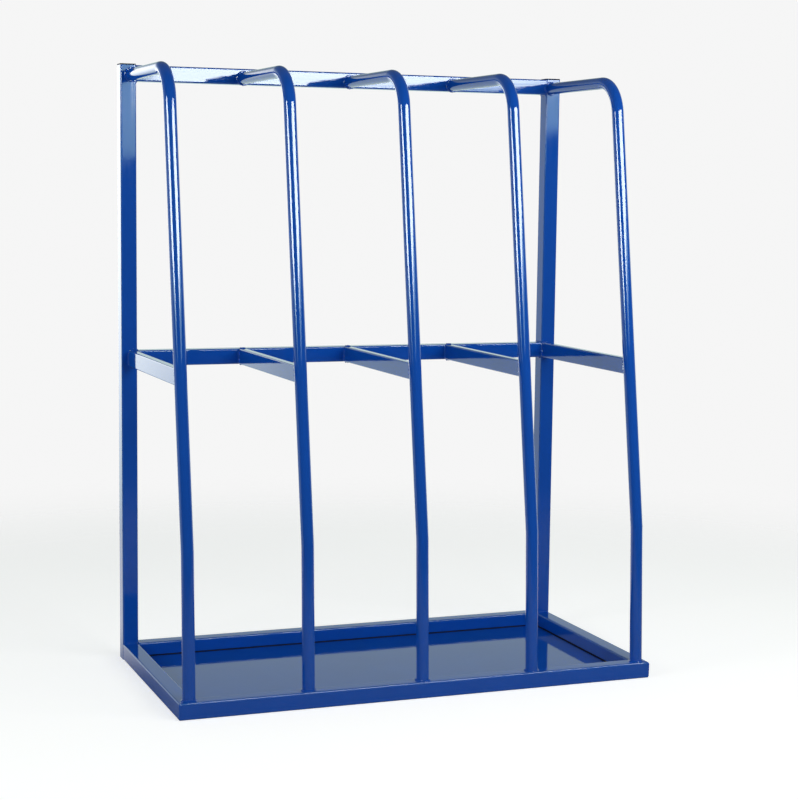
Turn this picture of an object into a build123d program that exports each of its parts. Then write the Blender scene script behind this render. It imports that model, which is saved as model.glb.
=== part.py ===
"""Vertical bar storage rack: a welded box-section frame with five bent dividing hoops.

Bars and tubes stand on the floor plate and lean back between the hoops, so the
five hoops make four bays.  Millimetres, +X to the right, +Y to the back, +Z up.
The origin is on the floor, in the middle of the footprint.
"""
import os
from math import atan2, cos, degrees, radians, sin

from build123d import *

# ---- overall size ----
RACK_WIDTH = 1200.0
RACK_DEPTH = 620.0
POST_HEIGHT = 1500.0

# ---- square box section: posts, cross rails and base frame ----
SECTION = 40.0
SECTION_WALL = 2.0
SECTION_CORNER = 4.0
SECTION_INNER_CORNER = SECTION_CORNER - SECTION_WALL

# ---- flat box section: the ties between hoop and back frame ----
TIE_WIDTH = 20.0
TIE_HEIGHT = 40.0
TIE_WALL = 2.0
TIE_CORNER = 3.0
TIE_INNER_CORNER = TIE_CORNER - TIE_WALL

# ---- heights of the two cross rails, to the top face ----
TOP_RAIL_TOP = POST_HEIGHT
MIDDLE_RAIL_TOP = 792.0

# ---- dividing hoops, bent from one length of round tube each ----
HOOP_COUNT = 5
HOOP_EDGE_OFFSET = 28.0
HOOP_TUBE_DIAMETER = 30.0
HOOP_TUBE_WALL = 2.0
HOOP_KNEE_HEIGHT = 379.0
HOOP_KNEE_SETBACK = 34.0
HOOP_UPPER_LEAN = 8.7
HOOP_ARM_HEIGHT = 1476.0
HOOP_BEND_RADIUS = 90.0
HOOP_FOOT_TRIM = 12.0

# ---- floor plate let into the base frame ----
PLATE_THICKNESS = 3.0
PLATE_GROUND_GAP = 2.0

# ---- plastic caps pressed into the post tops ----
CAP_FLANGE = 3.0
CAP_PLUG_DEPTH = 14.0
CAP_PLUG_CLEARANCE = 0.2
CAP_PLUG_WALL = 2.0
CAP_EDGE_ROUND = 1.0

# ---- derived positions ----
HALF_WIDTH = RACK_WIDTH / 2
HALF_DEPTH = RACK_DEPTH / 2
HALF_SECTION = SECTION / 2
INNER_X = HALF_WIDTH - SECTION
INNER_Y = HALF_DEPTH - SECTION
BACK_AXIS_Y = HALF_DEPTH - HALF_SECTION
POST_AXIS_X = HALF_WIDTH - HALF_SECTION
CROSS_RAIL_LENGTH = 2 * INNER_X
HOOP_FOOT_Y = -HALF_DEPTH + HALF_SECTION
HOOP_KNEE_Y = -HALF_DEPTH + HOOP_KNEE_SETBACK
HOOP_RADIUS = HOOP_TUBE_DIAMETER / 2
HOOP_PITCH = (RACK_WIDTH - 2 * HOOP_EDGE_OFFSET) / (HOOP_COUNT - 1)


def box_section(width, height, length, wall, corner, inner_corner):
    """Hollow rectangular tube along +Z, centred on its axis, starting at z = 0."""
    outer = extrude(RectangleRounded(width, height, corner), length)
    bore_width = width - 2 * wall
    bore_height = height - 2 * wall
    bore = extrude(RectangleRounded(bore_width, bore_height, inner_corner), length)
    return outer - bore


def square_tube(length):
    """A length of the square frame section along +Z."""
    return box_section(SECTION, SECTION, length, SECTION_WALL, SECTION_CORNER, SECTION_INNER_CORNER)


def tube_along_x(length, y, z):
    """Square tube lying across the rack, its axis at the given depth and height."""
    turned = Rot(0, 90, 0) * square_tube(length)
    return Pos(-length / 2, y, z) * turned


def tube_along_y(length, x, z):
    """Square tube lying front to back, starting at the front of the rack."""
    turned = Rot(-90, 0, 0) * square_tube(length)
    return Pos(x, -HALF_DEPTH, z) * turned


def mitre_mask(corners):
    """Upright block over a plan outline, used to cut the 45 degree frame corners."""
    outline = make_face(Polyline(*corners, close=True))
    return extrude(outline, SECTION)


def post(side):
    """Back upright, from the floor to the top rail; side is -1 for left, +1 for right."""
    return Pos(side * POST_AXIS_X, BACK_AXIS_Y, 0) * square_tube(POST_HEIGHT)


def post_cap(side):
    """Plastic cap: a flange over the tube end and a hollow plug inside it."""
    flange = extrude(RectangleRounded(SECTION, SECTION, SECTION_CORNER), CAP_FLANGE)
    flange = chamfer(flange.edges().group_by(Axis.Z)[-1], CAP_EDGE_ROUND)
    plug_size = SECTION - 2 * SECTION_WALL - 2 * CAP_PLUG_CLEARANCE
    hollow_size = plug_size - 2 * CAP_PLUG_WALL
    plug = extrude(RectangleRounded(plug_size, plug_size, SECTION_INNER_CORNER), -CAP_PLUG_DEPTH)
    hollow = extrude(Rectangle(hollow_size, hollow_size), -CAP_PLUG_DEPTH)
    cap = flange + (plug - hollow)
    return Pos(side * POST_AXIS_X, BACK_AXIS_Y, POST_HEIGHT) * cap


def cross_rail(top):
    """Rail between the two posts, flush with them, its top face at the given height."""
    return tube_along_x(CROSS_RAIL_LENGTH, BACK_AXIS_Y, top - HALF_SECTION)


def base_front_rail():
    """Full width front rail of the base, mitred at both ends."""
    rail = tube_along_x(RACK_WIDTH, HOOP_FOOT_Y, HALF_SECTION)
    front_left = (-HALF_WIDTH, -HALF_DEPTH)
    front_right = (HALF_WIDTH, -HALF_DEPTH)
    inner_right = (INNER_X, -INNER_Y)
    inner_left = (-INNER_X, -INNER_Y)
    return rail & mitre_mask([front_left, front_right, inner_right, inner_left])


def base_side_rail(side):
    """Side rail of the base: mitred at the front, butted to the post at the back."""
    length = RACK_DEPTH - SECTION
    rail = tube_along_y(length, side * POST_AXIS_X, HALF_SECTION)
    front_outer = (side * HALF_WIDTH, -HALF_DEPTH)
    front_inner = (side * INNER_X, -INNER_Y)
    back_inner = (side * INNER_X, INNER_Y)
    back_outer = (side * HALF_WIDTH, INNER_Y)
    return rail & mitre_mask([front_outer, front_inner, back_inner, back_outer])


def floor_plate():
    """Sheet steel plate filling the base frame just above the ground."""
    plate = Box(2 * INNER_X, 2 * INNER_Y, PLATE_THICKNESS)
    return Pos(0, 0, PLATE_GROUND_GAP + PLATE_THICKNESS / 2) * plate


def hoop_path():
    """Centre line of a hoop: short lower leg, knee, leaning leg, bend, level arm."""
    rise = HOOP_KNEE_HEIGHT - SECTION
    setback = HOOP_KNEE_Y - HOOP_FOOT_Y
    lean = radians(HOOP_UPPER_LEAN)
    foot_lean = atan2(setback, rise)
    corner_y = HOOP_KNEE_Y + (HOOP_ARM_HEIGHT - HOOP_KNEE_HEIGHT) * sin(lean) / cos(lean)
    foot_y = HOOP_FOOT_Y - HOOP_FOOT_TRIM * sin(foot_lean)
    foot_z = SECTION - HOOP_FOOT_TRIM * cos(foot_lean)
    foot = (0, foot_y, foot_z)
    knee = (0, HOOP_KNEE_Y, HOOP_KNEE_HEIGHT)
    corner = (0, corner_y, HOOP_ARM_HEIGHT)
    arm_end = (0, INNER_Y, HOOP_ARM_HEIGHT)
    return FilletPolyline(foot, knee, corner, arm_end, radius=HOOP_BEND_RADIUS)


def swept_round(radius):
    """Solid round bar along the hoop centre line, trimmed level at the foot."""
    path = hoop_path()
    start = Plane(origin=path @ 0, z_dir=path % 0)
    bar = sweep(start * Circle(radius), path=path)
    below_rail_top = Pos(0, HOOP_FOOT_Y, SECTION / 2) * Box(SECTION * 2, SECTION * 2, SECTION)
    return bar - below_rail_top


def hoop_x(index):
    """Sideways position of a hoop, counted from the left."""
    return -HALF_WIDTH + HOOP_EDGE_OFFSET + index * HOOP_PITCH


def divider_hoop(index):
    """One bent tube hoop standing on the front rail and reaching the back frame."""
    tube = swept_round(HOOP_RADIUS) - swept_round(HOOP_RADIUS - HOOP_TUBE_WALL)
    return Pos(hoop_x(index), 0, 0) * tube


def divider_tie(index):
    """Flat box-section tie from the hoop to the back frame, notched to fit the tube."""
    length = INNER_Y - HOOP_KNEE_Y
    tube = box_section(TIE_WIDTH, TIE_HEIGHT, length, TIE_WALL, TIE_CORNER, TIE_INNER_CORNER)
    laid = Rot(-90, 0, 0) * tube
    placed = Pos(0, HOOP_KNEE_Y, MIDDLE_RAIL_TOP - TIE_HEIGHT / 2) * laid
    notched = placed - swept_round(HOOP_RADIUS)
    behind_hoop = notched.solids().sort_by(Axis.Y)[-1]
    return Pos(hoop_x(index), 0, 0) * behind_hoop


def save(name, shape):
    """Write one node to its own file."""
    shape.label = name
    export_step(shape, f"parts/{name}.step")


def build():
    """Build and save every piece of the rack."""
    os.makedirs("parts", exist_ok=True)
    save("left_post", post(-1))
    save("right_post", post(1))
    save("left_post_cap", post_cap(-1))
    save("right_post_cap", post_cap(1))
    save("top_rail", cross_rail(TOP_RAIL_TOP))
    save("middle_rail", cross_rail(MIDDLE_RAIL_TOP))
    save("base_front_rail", base_front_rail())
    save("base_back_rail", cross_rail(SECTION))
    save("base_left_rail", base_side_rail(-1))
    save("base_right_rail", base_side_rail(1))
    save("floor_plate", floor_plate())
    for index in range(HOOP_COUNT):
        number = index + 1
        save(f"divider_hoop_{number}", divider_hoop(index))
        save(f"divider_tie_{number}", divider_tie(index))


build()
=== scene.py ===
"""Looks of the upright bar storage rack: glossy blue tube frame, bent hoops, welds and caps."""

import logging
import math
import random
from dataclasses import dataclass, field
from enum import Enum
from functools import partial
from typing import Callable, Iterable, Sequence

import bmesh
import bpy
from mathutils import Matrix, Vector


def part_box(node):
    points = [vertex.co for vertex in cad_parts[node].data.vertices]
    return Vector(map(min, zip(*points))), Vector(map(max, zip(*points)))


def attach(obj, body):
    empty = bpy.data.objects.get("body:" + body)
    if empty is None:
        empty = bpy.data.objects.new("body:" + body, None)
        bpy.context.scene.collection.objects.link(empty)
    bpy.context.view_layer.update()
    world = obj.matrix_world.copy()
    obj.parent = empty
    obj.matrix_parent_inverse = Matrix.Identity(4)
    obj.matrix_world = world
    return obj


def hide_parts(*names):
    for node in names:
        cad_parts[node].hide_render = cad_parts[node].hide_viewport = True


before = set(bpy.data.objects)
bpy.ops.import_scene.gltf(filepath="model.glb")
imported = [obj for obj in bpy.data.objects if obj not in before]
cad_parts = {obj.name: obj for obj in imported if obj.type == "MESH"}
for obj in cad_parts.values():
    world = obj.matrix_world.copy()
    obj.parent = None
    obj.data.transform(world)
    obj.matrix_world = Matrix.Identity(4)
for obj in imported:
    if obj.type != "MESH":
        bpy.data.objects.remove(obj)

LOG = logging.getLogger("rack_looks")
MM = 0.001
ROOT_BODY = "root"
MERGE_DISTANCE = 0.002 * MM
CUT_TOLERANCE = 1e-7
SHARP_ANGLE = math.radians(32)
ROOT_TWO = math.sqrt(2)
X_AXIS = Vector((1.0, 0.0, 0.0))
Y_AXIS = Vector((0.0, 1.0, 0.0))
Z_AXIS = Vector((0.0, 0.0, 1.0))


# ---------------------------------------------------------------- small tools


def linear(hex_colour: str) -> tuple[float, float, float, float]:
    """Turns an sRGB hex colour into linear RGBA.

    Args:
        hex_colour: colour as "#RRGGBB".

    Returns:
        Linear red, green, blue and an alpha of 1.
    """
    code = hex_colour.lstrip("#")
    shares = [int(code[i : i + 2], 16) / 255 for i in (0, 2, 4)]
    red, green, blue = (s / 12.92 if s <= 0.04045 else ((s + 0.055) / 1.055) ** 2.4 for s in shares)
    return red, green, blue, 1.0


def add_node(
    tree: bpy.types.NodeTree,
    kind: str,
    settings: dict[str, object] | None = None,
    sockets: dict[int | str, object] | None = None,
    links: dict[int | str, bpy.types.NodeSocket] | None = None,
) -> bpy.types.Node:
    """Adds one node with its settings, socket values and incoming links.

    Args:
        tree: node tree that gets the node.
        kind: the node's type name.
        settings: properties of the node itself.
        sockets: constant values of its inputs, by name or place.
        links: sockets that feed its inputs, by name or place.

    Returns:
        The new node.
    """
    node = tree.nodes.new(kind)
    for key, value in (settings or {}).items():
        setattr(node, key, value)
    for key, value in (sockets or {}).items():
        node.inputs[key].default_value = value
    for key, source in (links or {}).items():
        tree.links.new(source, node.inputs[key])
    return node


def start_nodes(owner: bpy.types.Material | bpy.types.World) -> Callable[..., bpy.types.Node]:
    """Empties the node tree of a material or world.

    Args:
        owner: the material or world.

    Returns:
        add_node, bound to that tree.
    """
    owner.use_nodes = True
    owner.node_tree.nodes.clear()
    return partial(add_node, owner.node_tree)


def start_material(
    name: str,
) -> tuple[bpy.types.Material, Callable[..., bpy.types.Node], bpy.types.NodeSocket]:
    """Starts a material made of nodes.

    Args:
        name: name of the material.

    Returns:
        The material, add_node bound to its tree, and the socket of its object coordinates.
    """
    material = bpy.data.materials.new(name)
    add = start_nodes(material)
    return material, add, add("ShaderNodeTexCoord").outputs["Object"]


class Run(Enum):
    """The row axis that a length of tube runs along."""

    ACROSS = 0
    DEEP = 1
    UPRIGHT = 2


class Paint(Enum):
    """Record slot names for the blue coat and the black plastic; the pieces take their materials from
    Finishes, not from these.
    """

    BLUE = "blue_powder_coat"
    BLACK = "black_plastic"


# ------------------------------------------------------------------- finishes


@dataclass(frozen=True)
class GlossPowderCoat:
    """Polyester powder coat, sprayed dry on drawn steel tube and baked to a high gloss.

    The baked film is clear and hard on top, so it mirrors the lamps sharply.  The drawn
    steel under it is not quite flat, which pulls those mirrored edges into long streaks.
    """

    run: Run
    name: str
    body_colour: str = "#1052B6"
    deep_colour: str = "#0B4AAA"
    thin_colour: str = "#2F68B4"
    gloss: float = 0.035
    haze: float = 0.03
    index: float = 1.5
    streak_width_mm: float = 6.0
    streak_length_mm: float = 300.0
    streak_height_mm: float = 0.045
    streak_haze: float = 0.05
    peel_mm: float = 5.0
    peel_height_mm: float = 0.004
    cloud_mm: float = 160.0
    dust_mm: float = 7.0
    edge_share: float = 0.35

    def stretch(self) -> tuple[float, float, float]:
        """Works out a pattern scale that makes the drawing streaks follow the tube.

        Returns:
            Scale along each row axis.
        """
        across = 1.0 / (self.streak_width_mm * MM)
        along = 1.0 / (self.streak_length_mm * MM)
        return tuple(along if axis == self.run.value else across for axis in range(3))

    def build(self) -> bpy.types.Material:
        """Makes the material.

        Returns:
            A material named for the coat and the way its steel was drawn.
        """
        material, add, place = start_material(f"gloss_powder_coat_on_{self.name}")
        # Slow clouds in the film's thickness keep long faces from looking like one flat blue.
        clouds = add(
            "ShaderNodeTexNoise",
            sockets={"Scale": 1.0 / (self.cloud_mm * MM), "Detail": 3.0, "Roughness": 0.55},
            links={"Vector": place},
        )
        blue = add(
            "ShaderNodeMix", settings={"data_type": "RGBA"},
            sockets={6: linear(self.deep_colour), 7: linear(self.body_colour)},
            links={0: clouds.outputs["Fac"]},
        )
        # Powder draws back from sharp edges as it melts, so the rounded corners are paler.
        edge = add("ShaderNodeAttribute", settings={"attribute_name": "thin_film"})
        thinned = add(
            "ShaderNodeMath", settings={"operation": "MULTIPLY"}, sockets={1: self.edge_share},
            links={0: edge.outputs["Fac"]},
        )
        coat = add(
            "ShaderNodeMix", settings={"data_type": "RGBA"},
            sockets={7: linear(self.thin_colour)}, links={0: thinned.outputs[0], 6: blue.outputs[2]},
        )
        # Fine dust nibs and handling haze change the gloss in small patches.
        dust = add(
            "ShaderNodeTexNoise",
            sockets={"Scale": 1.0 / (self.dust_mm * MM), "Detail": 4.0, "Roughness": 0.6},
            links={"Vector": place},
        )
        gloss = add(
            "ShaderNodeMapRange",
            sockets={
                "From Min": 0.35,
                "From Max": 0.75,
                "To Min": self.gloss,
                "To Max": self.gloss + self.haze,
            },
            links={"Value": dust.outputs["Fac"]},
        )
        # Lines left by the drawing rolls run along the tube, some sharper and some hazier.
        stretched = add("ShaderNodeMapping", sockets={"Scale": self.stretch()}, links={"Vector": place})
        streaks = add(
            "ShaderNodeTexNoise", sockets={"Scale": 1.0, "Detail": 2.0, "Roughness": 0.45},
            links={"Vector": stretched.outputs["Vector"]},
        )
        rolled = add(
            "ShaderNodeMapRange",
            sockets={"From Min": 0.4, "From Max": 0.7, "To Max": self.streak_haze},
            links={"Value": streaks.outputs["Fac"]},
        )
        sheen = add(
            "ShaderNodeMath", settings={"operation": "ADD"},
            links={0: gloss.outputs["Result"], 1: rolled.outputs["Result"]},
        )
        drawn = add(
            "ShaderNodeBump", sockets={"Strength": 1.0, "Distance": self.streak_height_mm * MM},
            links={"Height": streaks.outputs["Fac"]},
        )
        # Orange peel is about 2 mm wide in life; it is drawn coarser so that it still shows.
        peel = add(
            "ShaderNodeTexNoise",
            sockets={"Scale": 1.0 / (self.peel_mm * MM), "Detail": 1.0, "Roughness": 0.4},
            links={"Vector": place},
        )
        skin = add(
            "ShaderNodeBump", sockets={"Strength": 1.0, "Distance": self.peel_height_mm * MM},
            links={"Height": peel.outputs["Fac"], "Normal": drawn.outputs["Normal"]},
        )
        shader = add(
            "ShaderNodeBsdfPrincipled",
            sockets={"IOR": self.index, "Metallic": 0.0},
            links={
                "Base Color": coat.outputs[2],
                "Roughness": sheen.outputs[0],
                "Normal": skin.outputs["Normal"],
            },
        )
        add("ShaderNodeOutputMaterial", links={"Surface": shader.outputs["BSDF"]})
        return material


@dataclass(frozen=True)
class MouldedPolyethylene:
    """Black low-density polyethylene, injection moulded in a spark-eroded tool.

    The tool's fine pitting gives the cap a soft satin black next to the glossy tube.
    """

    colour: str = "#0C0D0F"
    worn_colour: str = "#1A1C1F"
    grain_mm: float = 1.6
    grain_height_mm: float = 0.05
    scuff_mm: float = 100.0 / 9.0  # nine scuffs across 100 mm
    smoothest: float = 0.6
    roughest: float = 0.78

    def build(self) -> bpy.types.Material:
        """Makes the material.

        Returns:
            The black cap material.
        """
        material, add, place = start_material("moulded_black_polyethylene")
        grain = add(
            "ShaderNodeTexNoise",
            sockets={"Scale": 1.0 / (self.grain_mm * MM), "Detail": 3.0, "Roughness": 0.6},
            links={"Vector": place},
        )
        scuffs = add(
            "ShaderNodeTexNoise", sockets={"Scale": 1.0 / (self.scuff_mm * MM), "Detail": 2.0},
            links={"Vector": place},
        )
        colour = add(
            "ShaderNodeMix", settings={"data_type": "RGBA"},
            sockets={6: linear(self.colour), 7: linear(self.worn_colour)},
            links={0: scuffs.outputs["Fac"]},
        )
        gloss = add(
            "ShaderNodeMapRange", sockets={"To Min": self.smoothest, "To Max": self.roughest},
            links={"Value": scuffs.outputs["Fac"]},
        )
        pits = add(
            "ShaderNodeBump", sockets={"Strength": 0.7, "Distance": self.grain_height_mm * MM},
            links={"Height": grain.outputs["Fac"]},
        )
        shader = add(
            "ShaderNodeBsdfPrincipled",
            sockets={"IOR": 1.51, "Metallic": 0.0, "Specular IOR Level": 0.08},
            links={
                "Base Color": colour.outputs[2],
                "Roughness": gloss.outputs["Result"],
                "Normal": pits.outputs["Normal"],
            },
        )
        add("ShaderNodeOutputMaterial", links={"Surface": shader.outputs["BSDF"]})
        return material


@dataclass(frozen=True)
class PaintedJointShade:
    """Polyurethane seam sealer, drawn along the joint by hand and wiped with a finger.

    Painted shade: a dull, nearly black blue bead that stands for the shadow in the crevice.

    It lies around the plate where the rails meet it, and reads as a dark gap around the
    plate, because it mirrors almost nothing beside the gloss of the coat.
    """

    colour: str = "#020A1E"
    paler_shade_colour: str = "#061230"
    blotch_mm: float = 9.0
    blotch_height_mm: float = 0.3

    def build(self) -> bpy.types.Material:
        """Makes the material.

        Returns:
            The dark bead of painted shade.
        """
        material, add, place = start_material("painted_joint_shade")
        blotches = add(
            "ShaderNodeTexNoise", sockets={"Scale": 1.0 / (self.blotch_mm * MM), "Detail": 2.0},
            links={"Vector": place},
        )
        # Blotches mix two near-black blues, which together make up the painted shade.
        colour = add(
            "ShaderNodeMix", settings={"data_type": "RGBA"},
            sockets={6: linear(self.colour), 7: linear(self.paler_shade_colour)},
            links={0: blotches.outputs["Fac"]},
        )
        ridges = add(
            "ShaderNodeBump", sockets={"Strength": 0.6, "Distance": self.blotch_height_mm * MM},
            links={"Height": blotches.outputs["Fac"]},
        )
        shader = add(
            "ShaderNodeBsdfPrincipled",
            sockets={"IOR": 1.5, "Roughness": 0.8, "Specular IOR Level": 0.1},
            links={"Base Color": colour.outputs[2], "Normal": ridges.outputs["Normal"]},
        )
        add("ShaderNodeOutputMaterial", links={"Surface": shader.outputs["BSDF"]})
        return material


class Finishes:
    """The finishes of the rack, each made once and shared by the pieces."""

    def __init__(self) -> None:
        """Makes the coat on box tube in each direction, on round tube, on sheet and on welds."""
        self.boxes = {run: GlossPowderCoat(run, f"box_tube_{run.name.lower()}").build() for run in Run}
        self.round_tube = GlossPowderCoat(
            Run.UPRIGHT,
            "bent_round_tube",
            streak_width_mm=9.0,
            streak_height_mm=0.003,
            streak_haze=0.02,
            peel_height_mm=0.0015,
        ).build()
        self.sheet = GlossPowderCoat(
            Run.ACROSS, "sheared_sheet", streak_width_mm=90.0, streak_height_mm=0.05, streak_haze=0.03
        ).build()
        self.weld = GlossPowderCoat(
            Run.UPRIGHT, "weld_bead", gloss=0.07, haze=0.08, peel_mm=2.5, peel_height_mm=0.02
        ).build()
        self.plastic = MouldedPolyethylene().build()
        # Dark bead of painted shade for the crevice between the floor plate and the rails.
        self.joint_shade = PaintedJointShade().build()

    def coat(self, run: Run) -> bpy.types.Material:
        """The coat on box tube whose drawing lines follow the given direction."""
        return self.boxes[run]


# ------------------------------------------------------------------ mesh tools


def make_object(
    bm: bmesh.types.BMesh, name: str, material: bpy.types.Material
) -> bpy.types.Object:
    """Turns a bmesh into an object of the scene.

    Args:
        bm: the mesh; it is freed.
        name: name of the object.
        material: its material.

    Returns:
        The new object.
    """
    data = bpy.data.meshes.new(name)
    bm.to_mesh(data)
    bm.free()
    data.materials.append(material)
    made = bpy.data.objects.new(name, data)
    bpy.context.scene.collection.objects.link(made)
    return made


def finish_piece(
    bm: bmesh.types.BMesh,
    name: str,
    material: bpy.types.Material,
    replaced: Sequence[str] = (),
) -> bpy.types.Object:
    """Turns a bmesh into a finished piece of the rack that rides on its body.

    Args:
        bm: the mesh in row coordinates; it is freed.
        name: name of the piece.
        material: its finish.
        replaced: CAD nodes that the piece stands for.

    Returns:
        The new object.
    """
    bmesh.ops.remove_doubles(bm, verts=bm.verts, dist=MERGE_DISTANCE)
    bmesh.ops.recalc_face_normals(bm, faces=bm.faces)
    for face in bm.faces:
        face.smooth = True
    for edge in bm.edges:
        edge.smooth = len(edge.link_faces) == 2 and edge.calc_face_angle(0.0) < SHARP_ANGLE
    piece = make_object(bm, name, material)
    weights = piece.modifiers.new("even_shading", "WEIGHTED_NORMAL")
    weights.keep_sharp = True
    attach(piece, ROOT_BODY)
    if replaced:
        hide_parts(*replaced)
    LOG.info("%s: %d faces", name, len(piece.data.polygons))
    return piece


def add_block(bm: bmesh.types.BMesh, size: Vector, centre: Vector) -> list[bmesh.types.BMVert]:
    """Adds a block.

    Args:
        bm: mesh that gets the block.
        size: its length along each axis.
        centre: its middle.

    Returns:
        Its eight points.
    """
    made = bmesh.ops.create_cube(bm, size=1.0)["verts"]
    bmesh.ops.scale(bm, vec=size, verts=made)
    bmesh.ops.translate(bm, vec=centre, verts=made)
    return made


def round_edges(
    bm: bmesh.types.BMesh, edges: Sequence[bmesh.types.BMEdge], radius: float, facets: int
) -> None:
    """Rounds edges.

    Args:
        bm: the mesh.
        edges: edges to round.
        radius: how far the rounding starts from each edge.
        facets: facets across the rounding.
    """
    bmesh.ops.bevel(
        bm,
        geom=edges,
        offset=radius,
        offset_type="OFFSET",
        segments=facets,
        profile=0.5,
        affect="EDGES",
        material=-1,
    )


def saw_off(bm: bmesh.types.BMesh, point: Vector, outward: Vector) -> None:
    """Cuts away what lies beyond a plane.

    Args:
        bm: the mesh.
        point: a point on the plane.
        outward: direction of the side that falls off.
    """
    bmesh.ops.bisect_plane(
        bm,
        geom=[*bm.verts, *bm.edges, *bm.faces],
        dist=CUT_TOLERANCE,
        plane_co=point,
        plane_no=outward,
        clear_outer=True,
    )


def open_edges(bm: bmesh.types.BMesh) -> list[bmesh.types.BMEdge]:
    """The edges that have a face on one side only."""
    return [e for e in bm.edges if len(e.link_faces) == 1]


def mark_thin_film(bm: bmesh.types.BMesh, verts: Iterable[bmesh.types.BMVert]) -> None:
    """Marks points where the coat is thin.

    Args:
        bm: the mesh.
        verts: points on outer rounded corners.
    """
    layer = bm.verts.layers.float["thin_film"]
    for vert in verts:
        vert[layer] = 1.0


@dataclass
class BoxSection:
    """A length of welded box section between two opposite corners.

    Attributes:
        low: lowest corner.
        high: highest corner.
        run: axis that the tube runs along.
        corner: outer corner radius.
        wall: wall thickness.
        rounds: facets of each rounded corner.
        cuts: point and outward direction of each slanted end cut.
        grinds: point and outward direction of each flat ground on a corner for its weld.
    """

    low: Vector
    high: Vector
    run: Run
    corner: float = 4 * MM
    wall: float = 2 * MM
    rounds: int = 6
    cuts: list[tuple[Vector, Vector]] = field(default_factory=list)
    grinds: list[tuple[Vector, Vector]] = field(default_factory=list)

    def skin(self, bm: bmesh.types.BMesh, inset: float) -> None:
        """Adds one open-ended skin of the tube.

        Args:
            bm: mesh that gets the skin.
            inset: how far the skin lies inside the outer faces.
        """
        shrink = Vector([0.0 if axis == self.run.value else 2 * inset for axis in range(3)])
        made = add_block(bm, self.high - self.low - shrink, (self.low + self.high) / 2)
        edges = {e for v in made for e in v.link_edges}
        ends = [f for f in {f for v in made for f in v.link_faces} if abs(f.normal[self.run.value]) > 0.9]
        lengthwise = [e for e in edges if not any(e in end.edges for end in ends)]
        bmesh.ops.delete(bm, geom=ends, context="FACES_ONLY")
        round_edges(bm, lengthwise, self.corner - inset, self.rounds)

    def build(self) -> bmesh.types.BMesh:
        """Builds the hollow tube, with any slanted end cuts.

        Returns:
            A closed mesh with both walls.
        """
        bm = bmesh.new()
        bm.verts.layers.float.new("thin_film")
        self.skin(bm, 0.0)
        # Points on a flat face touch the box's side; the others are on a rounded corner.
        touching = self.corner * 0.02
        centre = (self.low + self.high) / 2
        half = (self.high - self.low) / 2
        sides = [axis for axis in range(3) if axis != self.run.value]
        rounded = [
            v for v in bm.verts if all(half[a] - abs(v.co[a] - centre[a]) > touching for a in sides)
        ]
        mark_thin_film(bm, rounded)
        self.skin(bm, self.wall)
        for point, outward in self.cuts:
            saw_off(bm, point, outward)
        self.close_ends(bm)
        for point, outward in self.grinds:
            saw_off(bm, point, outward)
            bmesh.ops.holes_fill(bm, edges=open_edges(bm), sides=0)
        return bm

    def close_ends(self, bm: bmesh.types.BMesh) -> None:
        """Joins the outer and inner skins by a ring of end faces at each end.

        Args:
            bm: the two open skins.
        """
        middle = (self.low + self.high)[self.run.value] / 2
        rims = open_edges(bm)
        for side in (-1, 1):
            rim = [e for e in rims if side * (e.verts[0].co[self.run.value] - middle) > 0]
            bmesh.ops.triangle_fill(bm, edges=rim, use_beauty=True)

    def finish(self, name: str, node: str, finishes: Finishes) -> None:
        """Builds and coats the tube as a piece that stands for one CAD node."""
        finish_piece(self.build(), name, finishes.coat(self.run), [node])


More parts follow.
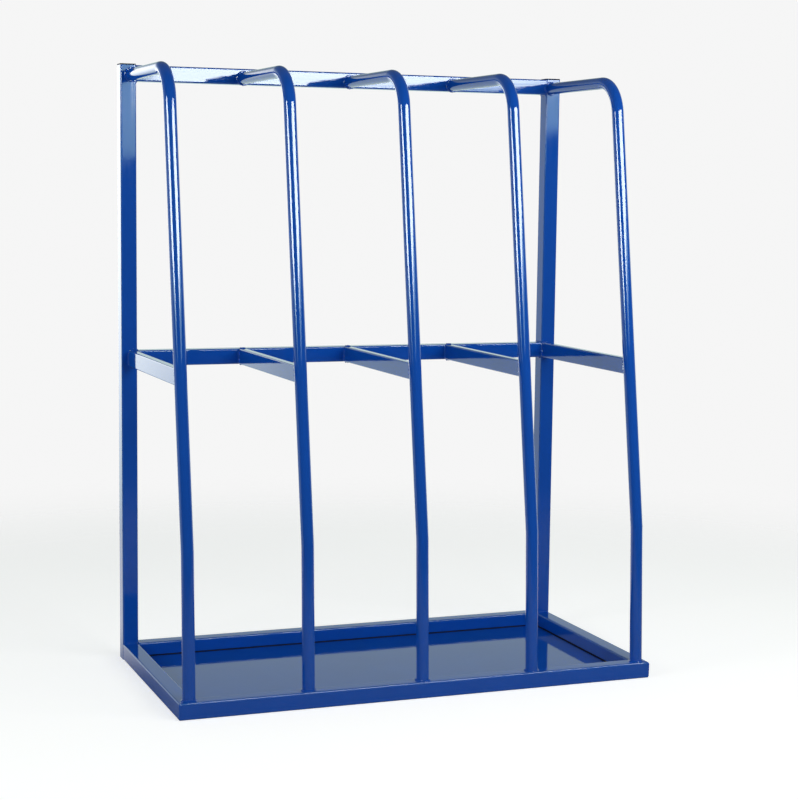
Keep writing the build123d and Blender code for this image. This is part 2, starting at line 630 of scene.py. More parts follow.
class PipeRun:
    """A round pipe laid like a bending job: straight lengths and turns from a start ring."""

    def __init__(
        self, bm: bmesh.types.BMesh, start: Vector, heading: Vector, radius: float, facets: int
    ) -> None:
        """Puts down the first ring.

        Args:
            bm: mesh that gets the pipe.
            start: centre of the first ring.
            heading: direction of the pipe there.
            radius: radius of the pipe.
            facets: points around the pipe.
        """
        self.bm = bm
        self.at = start.copy()
        self.heading = heading.normalized()
        turn = self.heading.to_track_quat("Z", "Y").to_matrix().to_4x4()
        ring = bmesh.ops.create_circle(
            bm, segments=facets, radius=radius, matrix=Matrix.Translation(start) @ turn
        )["verts"]
        self.ring = {e for v in ring for e in v.link_edges}
        self.rings = [(self.at.copy(), list(ring))]

    def straight(self, length: float, steps: int = 1) -> None:
        """Lays a straight length.

        Args:
            length: its length.
            steps: number of rings along it.
        """
        for _ in range(steps):
            made = bmesh.ops.extrude_edge_only(self.bm, edges=list(self.ring))["geom"]
            verts = [g for g in made if isinstance(g, bmesh.types.BMVert)]
            edges = (g for g in made if isinstance(g, bmesh.types.BMEdge))
            self.ring = {e for e in edges if all(v in verts for v in e.verts)}
            bmesh.ops.translate(self.bm, vec=self.heading * (length / steps), verts=verts)
            self.at += self.heading * (length / steps)
            self.rings.append((self.at.copy(), verts))

    def turn(self, axis: Vector, bend_radius: float, angle: float, steps: int) -> None:
        """Lays a bend.

        Args:
            axis: direction of the axis that the pipe turns about, right-handed.
            bend_radius: centre-line radius of the bend.
            angle: angle of the bend.
            steps: number of rings along it.
        """
        side = axis.normalized().cross(self.heading)
        centre = self.at + side * bend_radius
        for _ in range(steps):
            spun = bmesh.ops.spin(
                self.bm,
                geom=list(self.ring),
                cent=centre,
                axis=axis.normalized(),
                angle=angle / steps,
                steps=1,
                use_duplicate=False,
            )["geom_last"]
            verts = [g for g in spun if isinstance(g, bmesh.types.BMVert)]
            self.ring = {g for g in spun if isinstance(g, bmesh.types.BMEdge)}
            rotation = Matrix.Rotation(angle / steps, 3, axis)
            self.at = centre + rotation @ (self.at - centre)
            self.heading = rotation @ self.heading
            self.rings.append((self.at.copy(), verts))

    def reshape(self, size: Callable[[int], float]) -> None:
        """Swells or pinches each ring about its centre.

        Args:
            size: gives a ring's size from its place along the pipe.
        """
        for place, (centre, verts) in enumerate(self.rings):
            share = size(place)
            for vert in verts:
                vert.co = centre + (vert.co - centre) * share

    def cap(self) -> None:
        """Closes the two ends of the pipe."""
        bmesh.ops.holes_fill(self.bm, edges=open_edges(self.bm), sides=0)


# ---------------------------------------------------------------- sub-assemblies


@dataclass
class BaseFrame:
    """The low rectangular frame on the floor and the sheet plate inside it.

    Attributes:
        finishes: finishes of the rack.
        nose: how much of each mitred front corner is ground away for its weld.
        plate_gap: open gap around the plate.
        shade_bead: radius of the dark bead of painted shade around the plate.
        plate_edge: rounding of the plate's sheared edge.
    """

    finishes: Finishes
    nose: float = 2.2 * MM
    plate_gap: float = 0.4 * MM
    shade_bead: float = 3.1 * MM
    plate_edge: float = 0.6 * MM

    def front_rail(self) -> None:
        """Builds the front rail with its mitred ends."""
        low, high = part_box("base_front_rail")
        cuts, grinds = [], []
        for side in (-1, 1):
            corner = Vector((high.x * side, low.y, 0.0))
            cuts.append((corner, Vector((side, 1.0, 0.0)).normalized()))
            tip = Vector((side, -1.0, 0.0)).normalized()
            grinds.append((corner - tip * self.nose, tip))
        tube = BoxSection(low, high, Run.ACROSS, cuts=cuts, grinds=grinds)
        tube.finish("front_rail_tube", "base_front_rail", self.finishes)

    def side_rails(self) -> None:
        """Builds the two side rails, mitred in front and butted to the posts."""
        for side, word in ((-1, "left"), (1, "right")):
            node = f"base_{word}_rail"
            low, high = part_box(node)
            outer = low.x if side < 0 else high.x
            corner = Vector((outer, low.y, 0.0))
            tip = Vector((side, -1.0, 0.0)).normalized()
            cuts = [(corner, Vector((-side, -1.0, 0.0)).normalized())]
            grinds = [(corner - tip * self.nose, tip)]
            tube = BoxSection(low, high, Run.DEEP, cuts=cuts, grinds=grinds)
            tube.finish(f"{word}_side_rail_tube", node, self.finishes)

    def back_rail(self) -> None:
        """Builds the rail between the two posts."""
        tube = BoxSection(*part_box("base_back_rail"), Run.ACROSS)
        tube.finish("back_rail_tube", "base_back_rail", self.finishes)

    def plate(self) -> None:
        """Builds the sheared floor plate with its softened edge."""
        low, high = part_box("floor_plate")
        gap = Vector((self.plate_gap, self.plate_gap, 0.0))
        low, high = low + gap, high - gap
        bm = bmesh.new()
        add_block(bm, high - low, (low + high) / 2)
        round_edges(bm, list(bm.edges), self.plate_edge, 2)
        finish_piece(bm, "floor_plate_sheet", self.finishes.sheet, ["floor_plate"])

    def joint(self) -> None:
        """Lays the dark bead of painted shade in the crevice between the plate and the rails."""
        low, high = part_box("floor_plate")
        bm = bmesh.new()
        corner_spots = ((low.x, low.y), (high.x, low.y), (high.x, high.y), (low.x, high.y))
        around = [Vector((*spot, high.z)) for spot in corner_spots]
        for start, end in zip(around, around[1:] + around[:1]):
            pipe = PipeRun(bm, start, end - start, self.shade_bead, 8)
            pipe.straight((end - start).length, 24)
            pipe.cap()
        finish_piece(bm, "floor_plate_joint", self.finishes.joint_shade)

    def build(self) -> None:
        """Builds the whole base."""
        self.front_rail()
        self.side_rails()
        self.back_rail()
        self.plate()
        self.joint()


@dataclass
class BackFrame:
    """The two posts, the rails between them and the caps in the post tops.

    Attributes:
        finishes: finishes of the rack.
        cap_round: rounding of the cap's top edge.
        cap_corner: rounding of its four upright corners.
        plug_inset: how far the plug stands in from the flange's edge.
        plug_wall: wall of the hollow plug.
        plug_depth: share of the plug's length that is hollow.
    """

    finishes: Finishes
    cap_round: float = 0.5 * MM
    cap_corner: float = 4 * MM
    plug_inset: float = 2.2 * MM
    plug_wall: float = 2 * MM
    plug_depth: float = 0.92

    def posts(self) -> None:
        """Builds both posts."""
        for word in ("left", "right"):
            tube = BoxSection(*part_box(f"{word}_post"), Run.UPRIGHT)
            tube.finish(f"{word}_post_tube", f"{word}_post", self.finishes)

    def rails(self) -> None:
        """Builds the top and middle rails."""
        for word in ("top", "middle"):
            tube = BoxSection(*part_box(f"{word}_rail"), Run.ACROSS)
            tube.finish(f"{word}_rail_tube", f"{word}_rail", self.finishes)

    def cap(self, word: str) -> None:
        """Builds one moulded cap.

        Args:
            word: "left" or "right".
        """
        low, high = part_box(f"{word}_post_cap")
        post_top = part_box(f"{word}_post")[1].z
        flange = high.z - post_top
        bm = bmesh.new()
        middle = Vector(((low.x + high.x) / 2, (low.y + high.y) / 2, (post_top + high.z) / 2))
        add_block(bm, Vector((high.x - low.x, high.y - low.y, flange)), middle)
        upright = [e for e in bm.edges if abs((e.verts[0].co - e.verts[1].co).z) > flange / 2]
        round_edges(bm, upright, self.cap_corner, 6)
        under = min(bm.faces, key=lambda f: f.calc_center_median().z)
        bmesh.ops.inset_region(bm, faces=[under], thickness=self.plug_inset, use_even_offset=True)
        plug = bmesh.ops.extrude_face_region(bm, geom=[under])["geom"]
        plug_verts = [g for g in plug if isinstance(g, bmesh.types.BMVert)]
        bmesh.ops.delete(bm, geom=[under], context="FACES_ONLY")
        bmesh.ops.translate(bm, vec=(0.0, 0.0, low.z - post_top), verts=plug_verts)
        mouth = min(bm.faces, key=lambda f: f.calc_center_median().z)
        bmesh.ops.inset_region(bm, faces=[mouth], thickness=self.plug_wall, use_even_offset=True)
        hollow = bmesh.ops.extrude_face_region(bm, geom=[mouth])["geom"]
        hollow_verts = [g for g in hollow if isinstance(g, bmesh.types.BMVert)]
        bmesh.ops.delete(bm, geom=[mouth], context="FACES_ONLY")
        bmesh.ops.translate(bm, vec=(0.0, 0.0, (post_top - low.z) * self.plug_depth), verts=hollow_verts)
        rim = [e for e in bm.edges if all(abs(v.co.z - high.z) < 0.01 * MM for v in e.verts)]
        round_edges(bm, rim, self.cap_round, 3)
        finish_piece(bm, f"{word}_tube_cap", self.finishes.plastic, [f"{word}_post_cap"])

    def build(self) -> None:
        """Builds the whole back frame."""
        self.posts()
        self.rails()
        self.cap("left")
        self.cap("right")


@dataclass
class DividerHoop:
    """One bent tube hoop and the flat tie that holds it to the back frame.

    Attributes:
        number: place of the hoop, from the left.
        finishes: finishes of the rack.
        radius: outer radius of the tube.
        wall: wall of the tube.
        knee_height: height of the knee bend.
        knee_setback: distance of the knee from the front of the base.
        foot_setback: distance of the foot from the front of the base.
        lean: lean of the upper leg, in degrees.
        bend_radius: centre-line radius of both bends.
        facets: facets around the tube.
        bend_steps: rings along the top bend.
        foot_spare: extra length at the foot, which is sawn off level with the front rail.
        tie_bite: how far behind the leg's axis the tie begins.
        tie_corner: outer corner radius of the tie's tube.
    """

    number: int
    finishes: Finishes
    radius: float = 15 * MM
    wall: float = 2 * MM
    knee_height: float = 379 * MM
    knee_setback: float = 34 * MM
    foot_setback: float = 20 * MM
    lean: float = 8.7
    bend_radius: float = 90 * MM
    facets: int = 48
    bend_steps: int = 26
    foot_spare: float = 12 * MM
    tie_bite: float = 10 * MM
    tie_corner: float = 3 * MM

    @property
    def node(self) -> str:
        """CAD node of the hoop."""
        return f"divider_hoop_{self.number}"

    @property
    def tie_node(self) -> str:
        """CAD node of the hoop's tie."""
        return f"divider_tie_{self.number}"

    @property
    def middle_x(self) -> float:
        """Sideways position of the hoop."""
        low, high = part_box(self.node)
        return (low.x + high.x) / 2

    @property
    def foot(self) -> Vector:
        """Centre of the foot on the front rail."""
        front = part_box("base_front_rail")
        return Vector((self.middle_x, front[0].y + self.foot_setback, front[1].z))

    @property
    def knee(self) -> Vector:
        """Corner of the knee, before it is rounded."""
        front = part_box("base_front_rail")
        return Vector((self.middle_x, front[0].y + self.knee_setback, self.knee_height))

    @property
    def arm_end(self) -> Vector:
        """Centre of the arm's end on the back frame."""
        low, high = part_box(self.node)
        return Vector((self.middle_x, high.y, high.z - self.radius))

    def leg_y(self, height: float) -> float:
        """Depth of the upper leg's axis at a height."""
        return self.knee.y + (height - self.knee.z) * math.tan(math.radians(self.lean))

    def lay_pipe(self, bm: bmesh.types.BMesh, radius: float) -> None:
        """Bends one skin of the tube.

        Args:
            bm: mesh that gets the skin.
            radius: radius of the skin.
        """
        lower = self.knee - self.foot
        lower_lean = math.atan2(lower.y, lower.z)
        upper_lean = math.radians(self.lean)
        knee_turn = upper_lean - lower_lean
        top_turn = math.pi / 2 - upper_lean
        knee_cut = self.bend_radius * math.tan(knee_turn / 2)
        top_cut = self.bend_radius * math.tan(top_turn / 2)
        corner = Vector((self.middle_x, self.leg_y(self.arm_end.z), self.arm_end.z))
        heading = lower.normalized()
        start = self.foot - heading * self.foot_spare
        pipe = PipeRun(bm, start, heading, radius, self.facets)
        pipe.straight(lower.length + self.foot_spare - knee_cut)
        pipe.turn(-X_AXIS, self.bend_radius, knee_turn, 4)
        pipe.straight((corner - self.knee).length - knee_cut - top_cut)
        pipe.turn(-X_AXIS, self.bend_radius, top_turn, self.bend_steps)
        pipe.straight((self.arm_end - corner).length - top_cut)

    def tube(self) -> None:
        """Builds the hoop with both skins of its wall."""
        bm = bmesh.new()
        self.lay_pipe(bm, self.radius)
        self.lay_pipe(bm, self.radius - self.wall)
        saw_off(bm, self.foot, -Z_AXIS)
        rims = open_edges(bm)
        for at_foot in (True, False):
            rim = [e for e in rims if (e.verts[0].co.z < self.knee.z) == at_foot]
            bmesh.ops.triangle_fill(bm, edges=rim, use_beauty=True)
        finish_piece(bm, f"hoop_{self.number}_tube", self.finishes.round_tube, [self.node])

    def tie(self) -> None:
        """Builds the flat tie, its front end let into the hoop's tube wall."""
        low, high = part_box(self.tie_node)
        lean = math.radians(self.lean)
        middle = (low.z + high.z) / 2
        cut = Vector((self.middle_x, self.leg_y(middle) + self.tie_bite / math.cos(lean), middle))
        outward = Vector((0.0, -math.cos(lean), math.sin(lean)))
        start = Vector((low.x, self.leg_y(low.z), low.z))
        flat = BoxSection(start, high, Run.DEEP, self.tie_corner, rounds=5, cuts=[(cut, outward)])
        flat.finish(f"hoop_{self.number}_tie", self.tie_node, self.finishes)

    def build(self) -> None:
        """Builds the hoop and its tie."""
        self.tube()
        self.tie()


@dataclass
class WeldBeads:
    """The weld beads, laid by hand and coated with the rest of the rack.

    Attributes:
        finishes: finishes of the rack.
        hoops: the hoops that the beads hold.
        bead: radius of a fillet bead.
        flat_bead: radius of a bead that was ground almost flush.
        edge_bead: radius of the bead down a mitred front edge.
        ripple: pitch of the ripples along a bead.
        uneven: how much the ripples differ.
        facets: facets around a bead.
        thinned: size of a bead's two ends beside its middle.
        proud: how far the bead's centre line stands outside a round tube.
        flush: depth of a ground bead's centre line under the face, beside its radius.
        corner_gap: how far a bead stops short of a box tube's corner.
        tie_gap: the same at the smaller corners of a tie.
        tie_sunk: how far the cross beads reach into the hoop's rear side.
        ground_nose: distance of the mitred edge's bead from the untouched corner.
        mitre_start: distance of the mitre's seam from that corner, and of the butt's from the floor.
    """

    finishes: Finishes
    hoops: Sequence[DividerHoop]
    bead: float = 3.1 * MM
    flat_bead: float = 1.3 * MM
    edge_bead: float = 2.4 * MM
    ripple: float = 2.4 * MM
    uneven: float = 0.34
    facets: int = 10
    thinned: float = 0.35
    proud: float = 0.6 * MM
    flush: float = 0.55
    corner_gap: float = 4 * MM
    tie_gap: float = 2 * MM
    tie_sunk: float = 1.2 * MM
    ground_nose: float = 2.6 * MM
    mitre_start: float = 5 * MM

    def __post_init__(self) -> None:
        """Seeds the hand-laid unevenness, so that each run is the same."""
        self.hand = random.Random(20)

    def wobble(self, place: int) -> float:
        """Draws the size of one ripple of a bead.

        Args:
            place: place of the ripple along the bead.

        Returns:
            Its size beside that of an even bead.
        """
        wave = 0.1 * math.sin(place * 2.1)
        return 1.0 + wave + self.uneven * (self.hand.random() - 0.5)

    def around(self, bm: bmesh.types.BMesh, centre: Vector, axis: Vector, ring: float) -> None:
        """Lays a bead around a round tube.

        Args:
            bm: mesh that gets the bead.
            centre: centre of the tube's end.
            axis: the tube's axis.
            ring: radius of the bead's centre line.
        """
        old = set(bm.verts)
        out = axis.orthogonal().normalized()
        heading = axis.normalized().cross(out)
        steps = max(24, round(2 * math.pi * ring / self.ripple))
        turn = heading.to_track_quat("Z", "Y").to_matrix().to_4x4()
        spot = Matrix.Translation(centre + out * ring) @ turn
        circle = bmesh.ops.create_circle(bm, segments=self.facets, radius=self.bead, matrix=spot)
        section = circle["verts"]
        edges = list({e for v in section for e in v.link_edges})
        bmesh.ops.spin(
            bm,
            geom=[*section, *edges],
            cent=centre,
            axis=axis,
            angle=2 * math.pi,
            steps=steps,
            use_merge=True,
            use_duplicate=False,
        )
        sizes = [self.wobble(i) for i in range(steps)]
        for vert in (v for v in bm.verts if v not in old):
            arm = vert.co - centre
            place = round(math.atan2(arm.dot(heading), arm.dot(out)) / (2 * math.pi) * steps) % steps
            angle = 2 * math.pi * place / steps
            middle = centre + (out * math.cos(angle) + heading * math.sin(angle)) * ring
            vert.co = middle + (vert.co - middle) * sizes[place]

    def along(
        self, bm: bmesh.types.BMesh, start: Sequence[float], end: Sequence[float], radius: float
    ) -> None:
        """Lays a straight bead with tapered ends.

        Args:
            bm: mesh that gets the bead.
            start: where it begins.
            end: where it ends.
            radius: radius of the bead.
        """
        way = Vector(end) - Vector(start)
        steps = max(4, round(way.length / self.ripple))
        pipe = PipeRun(bm, Vector(start), way, radius, self.facets)
        pipe.straight(way.length, steps)
        sizes = [self.wobble(i) for i in range(steps + 1)]
        sizes[0] = sizes[-1] = self.thinned
        pipe.reshape(lambda place: sizes[place])
        pipe.cap()

    def hoop_beads(self, hoop: DividerHoop) -> None:
        """Lays the beads at a hoop's foot and arm and at both ends of its tie."""
        bm = bmesh.new()
        self.around(bm, hoop.foot, Z_AXIS, hoop.radius + self.proud)
        self.around(bm, hoop.arm_end, Y_AXIS, hoop.radius + self.proud)
        low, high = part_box(hoop.tie_node)
        left, right = low.x + self.tie_gap, high.x - self.tie_gap
        bottom, top = low.z + self.tie_gap, high.z - self.tie_gap
        for x in (low.x, high.x):
            self.along(bm, (x, high.y, bottom), (x, high.y, top), self.bead)
            edge = math.sqrt(hoop.radius**2 - (x - hoop.middle_x) ** 2) / math.cos(math.radians(hoop.lean))
            lower, upper = hoop.leg_y(low.z) + edge, hoop.leg_y(high.z) + edge
            self.along(bm, (x, lower, bottom), (x, upper, top), self.bead)
        for z in (low.z, high.z):
            rear = hoop.leg_y(z) + hoop.radius - self.tie_sunk
            for y in (high.y, rear):
                self.along(bm, (left, y, z), (right, y, z), self.bead)
        finish_piece(bm, f"hoop_{hoop.number}_welds", self.finishes.weld)

    def rail_end(self, bm: bmesh.types.BMesh, node: str, side: int, lowest: bool) -> None:
        """Lays the seam where a cross rail meets a post.

        Args:
            bm: mesh that gets the seam.
            node: the rail.
            side: -1 for its left end and 1 for its right end.
            lowest: True for the rail on the floor, whose under side gets no bead.
        """
        low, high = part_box(node)
        x = low.x if side < 0 else high.x
        gap = self.corner_gap
        sunk = self.flat_bead / 2
        for y in (low.y + sunk, high.y - sunk):
            self.along(bm, (x, y, low.z + gap), (x, y, high.z - gap), self.flat_bead)
        for z in [high.z] if lowest else [low.z, high.z]:
            self.along(bm, (x, low.y + gap, z), (x, high.y - gap, z), self.bead)

    def frame_beads(self) -> None:
        """Lays the seams of the back frame and of the base."""
        bm = bmesh.new()
        gap = self.corner_gap
        for side in (-1, 1):
            self.rail_end(bm, "middle_rail", side, False)
            self.rail_end(bm, "base_back_rail", side, True)
            low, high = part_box("top_rail")
            x = low.x if side < 0 else high.x
            self.along(bm, (x, low.y + gap, low.z), (x, high.y - gap, low.z), self.bead)
            for y in (low.y + self.proud, high.y - self.proud):
                self.along(bm, (x, y, low.z + gap), (x, y, high.z - gap), self.flat_bead)
            self.base_corner(bm, side)
        finish_piece(bm, "frame_welds", self.finishes.weld)

    def base_corner(self, bm: bmesh.types.BMesh, side: int) -> None:
        """Lays the seams of a mitred front corner and of the side rail's butt to the post.

        Args:
            bm: mesh that gets the seams.
            side: -1 for left and 1 for right.
        """
        low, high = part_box("base_front_rail")
        post_low, post_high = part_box("left_post" if side < 0 else "right_post")
        corner = Vector((side * high.x, low.y, 0.0))
        inward = Vector((-side, 1.0, 0.0)).normalized()
        nose = corner + inward * self.ground_nose
        bottom, top = self.edge_bead + self.proud, high.z - self.edge_bead
        self.along(bm, nose + Z_AXIS * bottom, nose + Z_AXIS * top, self.edge_bead)
        mitre_end = (high.y - low.y) * ROOT_TWO - self.corner_gap
        sunk = self.flat_bead * self.flush
        level = corner + Z_AXIS * (high.z - sunk)
        self.along(bm, level + inward * self.mitre_start, level + inward * mitre_end, self.flat_bead)
        outer, inner = (post_low.x, post_high.x) if side < 0 else (post_high.x, post_low.x)
        butt = post_low.y
        first, last = outer - side * self.corner_gap, inner + side * self.tie_gap
        self.along(bm, (first, butt, high.z), (last, butt, high.z), self.bead)
        face = outer - side * sunk
        top = high.z - self.corner_gap
        self.along(bm, (face, butt, self.mitre_start), (face, butt, top), self.flat_bead)

    def build(self) -> None:
        """Lays every bead."""
        for hoop in self.hoops:
            self.hoop_beads(hoop)
        self.frame_beads()


# ----------------------------------------------------------------------- studio


@dataclass
class Softbox:
    """A wide softbox that stands on end beside the camera.

    The gloss coat mirrors its face, and a dimmer lamp in the same place gives the soft light.

    Attributes:
        name: name of the softbox.
        start: one end, seen from above.
        end: the other end, seen from above.
        low: height of its lower edge.
        high: height of its upper edge.
        feather: height over which its lower edge fades in.
        spill: brightness of the dim band in that edge.
        glow: brightness of its face in the gloss.
        wash: brightness of its light on the paint under the gloss.
        tilt: rise of its lower edge per metre across, from its middle.
        dim_end: width of the dim margin at its starting end.
        fold_mm: width of the upright folds in its cloth.
        drape: how far the folds pull its lower edge up and down.
        soft_margin: half the width over which the margin brightens.
        band: where the dim band begins and ends its rise, as shares of the feather.
        rise: where the face itself does so.
        band_colour: light of the dim band, which comes through the cloth's hem.
        face_colour: light of the face.
    """

    name: str
    start: tuple[float, float]
    end: tuple[float, float]
    low: float
    high: float
    feather: float
    spill: float
    glow: float
    wash: float
    tilt: float = 0.0
    dim_end: float = -0.1
    fold_mm: float = 60.0
    drape: float = 0.02
    soft_margin: float = 0.05
    band: tuple[float, float] = (0.1, 0.3)
    rise: tuple[float, float] = (0.6, 0.95)
    band_colour: tuple[float, float, float, float] = (0.62, 1.0, 0.88, 1.0)
    face_colour: tuple[float, float, float, float] = (0.97, 1.0, 1.0, 1.0)

    @property
    def ends(self) -> tuple[Vector, Vector]:
        """Its two ends, on the floor."""
        return Vector((*self.start, 0.0)), Vector((*self.end, 0.0))

    @property
    def middle(self) -> Vector:
        """The middle of its face."""
        return sum(self.ends, Vector()) / 2 + Z_AXIS * (self.low + self.high) / 2

    def face(self) -> None:
        """Makes the face that the gloss mirrors."""
        start, end = self.ends
        way = end - start
        bm = bmesh.new()
        panel = bmesh.ops.create_grid(bm, x_segments=1, y_segments=1, size=0.5)["verts"]
        bmesh.ops.scale(bm, vec=(way.length, self.high - self.low, 1.0), verts=panel)
        turn = Matrix.Rotation(math.atan2(way.y, way.x), 3, "Z") @ Matrix.Rotation(math.pi / 2, 3, "X")
        bmesh.ops.rotate(bm, cent=(0.0, 0.0, 0.0), matrix=turn, verts=panel)
        bmesh.ops.translate(bm, vec=self.middle, verts=panel)
        material, add, place = start_material(f"lit_nylon_diffuser_{self.name}")
        # The cloth hangs in upright folds, so its lower edge is wavy and a little out of level.
        level, across = (
            add(
                "ShaderNodeVectorMath", settings={"operation": "DOT_PRODUCT"},
                sockets={1: direction}, links={0: place},
            ).outputs["Value"]
            for direction in ((-self.tilt, 0.0, 1.0), way.normalized())
        )
        folded = 1.0 / (self.fold_mm * MM)
        stretched = add(
            "ShaderNodeMapping", sockets={"Scale": (folded, folded, 0.4)}, links={"Vector": place}
        )
        folds = add(
            "ShaderNodeTexNoise", sockets={"Scale": 1.0, "Detail": 2.0},
            links={"Vector": stretched.outputs["Vector"]},
        )
        height = add(
            "ShaderNodeMath", settings={"operation": "MULTIPLY_ADD"}, sockets={1: self.drape},
            links={0: folds.outputs["Fac"], 2: level},
        ).outputs[0]
        edge = self.low - self.tilt * (start.x + end.x) / 2 + self.drape / 2
        margin = start.dot(way.normalized()) + self.dim_end
        band, face, inside = (
            add(
                "ShaderNodeMapRange", settings={"interpolation_type": "SMOOTHSTEP"},
                sockets={"From Min": first, "From Max": last, "To Max": brightness},
                links={"Value": source},
            ).outputs["Result"]
            for source, first, last, brightness in (
                (height, *(edge + self.feather * share for share in self.band), self.spill),
                (height, *(edge + self.feather * share for share in self.rise), self.glow),
                (across, margin - self.soft_margin, margin + self.soft_margin, 1.0),
            )
        )
        main_light = add(
            "ShaderNodeMath", settings={"operation": "MULTIPLY"}, links={0: face, 1: inside}
        ).outputs[0]
        cool, clear = (
            add(
                "ShaderNodeEmission", sockets={"Color": colour}, links={"Strength": strength}
            ).outputs[0]
            for colour, strength in ((self.band_colour, band), (self.face_colour, main_light))
        )
        lit = add("ShaderNodeAddShader", links={0: cool, 1: clear})
        add("ShaderNodeOutputMaterial", links={"Surface": lit.outputs[0]})
        cloth = make_object(bm, f"{self.name}_face", material)
        cloth.visible_camera = False
        cloth.visible_diffuse = False
        cloth.visible_shadow = False

    def lamp(self) -> None:
        """Makes the lamp for the soft light."""
        start, end = self.ends
        lamp = bpy.data.lights.new(f"{self.name}_lamp", "AREA")
        lamp.shape = "RECTANGLE"
        lamp.size = (end - start).length
        lamp.size_y = self.high - self.low
        lamp.energy = self.wash * lamp.size * lamp.size_y * math.pi
        holder = bpy.data.objects.new(f"{self.name}_lamp", lamp)
        inward = Z_AXIS.cross(end - start).normalized()
        holder.location = self.middle
        holder.rotation_euler = inward.to_track_quat("-Z", "Y").to_euler()
        holder.visible_camera = False
        holder.visible_glossy = False
        bpy.context.scene.collection.objects.link(holder)

    def build(self) -> None:
        """Makes face and lamp."""
        self.face()
        self.lamp()


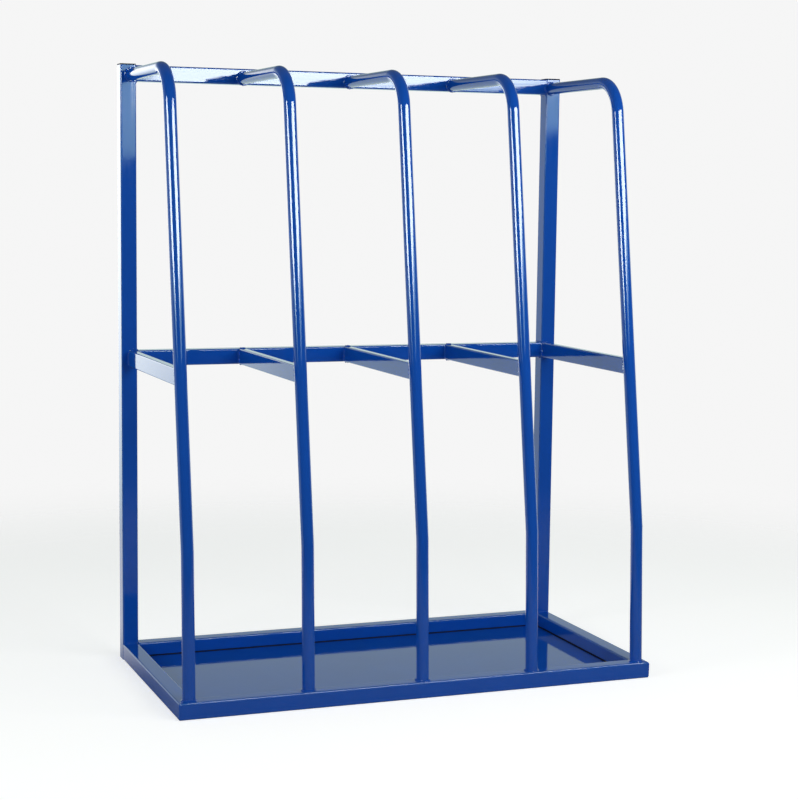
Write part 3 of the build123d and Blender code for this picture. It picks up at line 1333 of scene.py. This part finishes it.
@dataclass
class Studio:
    """A plain pale floor, a pale surround and two softboxes in front.

    Attributes:
        floor_radius: radius of the floor disc.
        floor_clear: radius inside which the floor is solid; outside it fades into the surround.
        floor_edge: share of its radius where it has faded out.
        floor_colour: colour of its paint.
        white: brightness of the plain surround.
        bright_spot: direction of the backdrop's brightest part, as the gloss mirrors it.
        bright_squash: how much lower than wide that part is.
        bright_level: its brightness.
        floor_lift: light that the floor gives off by itself, as a lit table does.
        floor_glare: brightness of the lit floor behind the rack, as the gloss mirrors it.
        glare_depth: depth at which the floor reaches that brightness.
        softboxes: the two softboxes.
    """

    floor_radius: float = 3.4
    floor_clear: float = 1.3
    floor_edge: float = 0.97
    floor_colour: str = "#CFCFCD"
    white: float = 0.92
    bright_spot: tuple[float, float, float] = (-0.15, 0.98, 0.06)
    bright_squash: float = 0.7
    bright_level: float = 2.6
    floor_lift: float = 0.66
    floor_glare: float = 1.1
    glare_depth: float = 0.7
    softboxes: Sequence[Softbox] = (
        Softbox("left_softbox", (-3.55, -0.5), (-3.34, -2.32), 1.22, 2.3, 0.36, 5.0, 19.0, 6.4),
        Softbox(
            "right_softbox", (-0.17, -2.74), (2.38, -1.59), 1.32, 2.25, 0.34, 4.2, 19.0, 6.2, 0.1, 0.35
        ),
    )

    def floor(self) -> None:
        """Makes the pale floor."""
        bm = bmesh.new()
        bmesh.ops.create_circle(bm, cap_ends=True, segments=96, radius=self.floor_radius)
        material, add, place = start_material("painted_studio_floor")
        away = add("ShaderNodeVectorMath", settings={"operation": "LENGTH"}, links={0: place})
        fade = add(
            "ShaderNodeMapRange", settings={"interpolation_type": "SMOOTHERSTEP"},
            sockets={"From Min": self.floor_clear, "From Max": self.floor_radius * self.floor_edge},
            links={"Value": away.outputs["Value"]},
        )
        path = add("ShaderNodeLightPath")
        lift = add(
            "ShaderNodeMath", settings={"operation": "MULTIPLY"}, sockets={1: self.floor_lift},
            links={0: path.outputs["Is Camera Ray"]},
        )
        # The lamps of the backdrop also light the floor behind the rack.
        depth = add("ShaderNodeSeparateXYZ", links={0: place}).outputs["Y"]
        behind = add(
            "ShaderNodeMapRange", settings={"interpolation_type": "SMOOTHSTEP"},
            sockets={"From Min": 0.0, "From Max": self.glare_depth, "To Max": self.floor_glare},
            links={"Value": depth},
        )
        glare = add(
            "ShaderNodeMath", settings={"operation": "MULTIPLY_ADD"},
            links={0: path.outputs["Is Glossy Ray"], 1: behind.outputs["Result"], 2: lift.outputs[0]},
        )
        paint = add(
            "ShaderNodeBsdfPrincipled",
            sockets={
                "Base Color": linear(self.floor_colour),
                "Roughness": 1.0,
                "Specular IOR Level": 0.0,
                "Emission Color": (1.0, 1.0, 1.0, 1.0),
            },
            links={"Emission Strength": glare.outputs[0]},
        )
        clear = add("ShaderNodeBsdfTransparent")
        mixed = add(
            "ShaderNodeMixShader",
            links={0: fade.outputs["Result"], 1: paint.outputs["BSDF"], 2: clear.outputs["BSDF"]},
        )
        add("ShaderNodeOutputMaterial", links={"Surface": mixed.outputs["Shader"]})
        make_object(bm, "studio_floor", material)

    def surround(self) -> None:
        """Makes the pale surround, and the darker room in front that the gloss mirrors."""
        world = bpy.data.worlds.new("studio_surround")
        add = start_nodes(world)
        direction = add("ShaderNodeTexCoord").outputs["Generated"]
        parts = add("ShaderNodeSeparateXYZ", links={0: direction})

        # The lamps of the backdrop make its left part, low down, the brightest.
        offset = add(
            "ShaderNodeVectorMath", settings={"operation": "SUBTRACT"},
            sockets={1: self.bright_spot}, links={0: direction},
        ).outputs[0]
        squashed = add(
            "ShaderNodeVectorMath", settings={"operation": "MULTIPLY"},
            sockets={1: (1.0, 0.0, self.bright_squash)}, links={0: offset},
        ).outputs[0]
        apart = add(
            "ShaderNodeVectorMath", settings={"operation": "LENGTH"}, links={0: squashed}
        ).outputs["Value"]
        # Each part of the room eases from one brightness to another over a span of directions.
        behind, backdrop, room, spot = (
            add(
                "ShaderNodeMapRange", settings={"interpolation_type": "SMOOTHSTEP"},
                sockets={"From Min": start, "From Max": end, "To Min": first, "To Max": last},
                links={"Value": source},
            ).outputs["Result"]
            for source, start, end, first, last in (
                (parts.outputs["Y"], -0.2, 0.35, 0.0, 1.0),
                (parts.outputs["Z"], -0.02, 0.5, 1.06, 0.22),
                (parts.outputs["Z"], -0.32, -0.16, 0.4, 0.1),
                (apart, 0.05, 0.215, self.bright_level, 0.0),
            )
        )
        plain_room = add(
            "ShaderNodeMix", settings={"data_type": "FLOAT"}, links={0: behind, 2: room, 3: backdrop}
        ).outputs[0]
        hot = add(
            "ShaderNodeMath", settings={"operation": "MULTIPLY"}, links={0: spot, 1: behind}
        ).outputs[0]
        # The room is lit a little cool, and the lamps of the backdrop a little warm.
        cool, warm = (
            add(
                "ShaderNodeBackground", sockets={"Color": colour}, links={"Strength": strength}
            ).outputs[0]
            for colour, strength in (((0.82, 1.0, 0.94, 1.0), plain_room), ((1.0, 0.98, 0.95, 1.0), hot))
        )
        dim = add("ShaderNodeAddShader", links={0: cool, 1: warm})
        plain = add(
            "ShaderNodeBackground", sockets={"Color": (1.0, 1.0, 1.0, 1.0), "Strength": self.white}
        )
        path = add("ShaderNodeLightPath")
        mixed = add(
            "ShaderNodeMixShader",
            links={0: path.outputs["Is Camera Ray"], 1: dim.outputs[0], 2: plain.outputs[0]},
        )
        add("ShaderNodeOutputWorld", links={"Surface": mixed.outputs["Shader"]})
        bpy.context.scene.world = world

    def build(self) -> None:
        """Makes floor, surround and lamps."""
        self.floor()
        self.surround()
        for softbox in self.softboxes:
            softbox.build()
        bpy.context.scene.view_settings.view_transform = "Standard"


@dataclass
class Viewpoint:
    """The camera, standing to the left of the rack at about chest height.

    Attributes:
        spot: where it stands.
        yaw: turn to the right, in degrees.
        pitch: tilt upwards, in degrees.
        roll: lean, in degrees.
        lens_mm: focal length.
        sensor_mm: width of the sensor.
        reach: greatest distance that it sees.
    """

    spot: Vector = field(default_factory=lambda: Vector((-1.60204, -4.28742, 1.20152)))
    yaw: float = 20.9819
    pitch: float = -6.4903
    roll: float = 0.7009
    lens_mm: float = 83.16
    sensor_mm: float = 36.0
    reach: float = 60.0

    def build(self) -> None:
        """Makes the camera and gives it to the scene."""
        yaw, pitch, roll = (math.radians(a) for a in (self.yaw, self.pitch, self.roll))
        ahead = Vector((math.sin(yaw) * math.cos(pitch), math.cos(yaw) * math.cos(pitch), math.sin(pitch)))
        level = Vector((math.cos(yaw), -math.sin(yaw), 0.0))
        above = level.cross(ahead)
        right = level * math.cos(roll) + above * math.sin(roll)
        up = above * math.cos(roll) - level * math.sin(roll)
        data = bpy.data.cameras.new("rack_camera")
        data.sensor_width = self.sensor_mm
        data.lens = self.lens_mm
        data.clip_end = self.reach
        camera = bpy.data.objects.new("rack_camera", data)
        turn = Matrix((right, up, -ahead)).transposed().to_4x4()
        camera.matrix_world = Matrix.Translation(self.spot) @ turn
        bpy.context.scene.collection.objects.link(camera)
        bpy.context.scene.camera = camera


def main() -> None:
    """Builds the rack piece by piece and puts it in the studio."""
    logging.basicConfig(level=logging.INFO, format="%(name)s %(message)s")
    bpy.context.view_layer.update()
    finishes = Finishes()
    BaseFrame(finishes).build()
    BackFrame(finishes).build()
    hoops = [DividerHoop(number, finishes) for number in range(1, 6)]
    for hoop in hoops:
        hoop.build()
    WeldBeads(finishes, hoops).build()
    Studio().build()
    Viewpoint().build()


if __name__ == "__main__":
    main()
